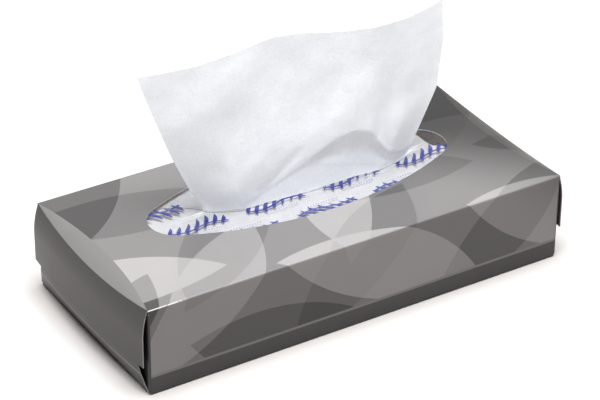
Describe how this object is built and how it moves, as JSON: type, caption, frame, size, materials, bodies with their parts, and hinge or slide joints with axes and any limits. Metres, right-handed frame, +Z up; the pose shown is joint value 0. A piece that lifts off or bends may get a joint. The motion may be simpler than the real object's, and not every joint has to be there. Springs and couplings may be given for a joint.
{
  "type": "tissue box",
  "caption": "Flat folded carton of facial tissues, with an oval opening, a slit film window and one tissue standing up through the slit.",
  "frame": {"origin": "middle of the carton's footprint, on the surface that it stands on", "axes": "+X along the box, +Y from the front panel to the back panel, +Z up"},
  "size_m": [0.2458, 0.112, 0.1315],
  "materials": {
    "printed_board": "semi-gloss grey print outside, bare grey-white board inside",
    "film": "thin milky film, slightly glossy",
    "tissue_paper": "soft matt",
    "tissue_sheet": "soft matt, slightly see-through"
  },
  "bodies": {
    "root": {"carton": "printed_board", "film_window": "film", "tissue_stack": "tissue_paper", "pulled_tissue": "tissue_sheet"}
  },
  "joints": []
}
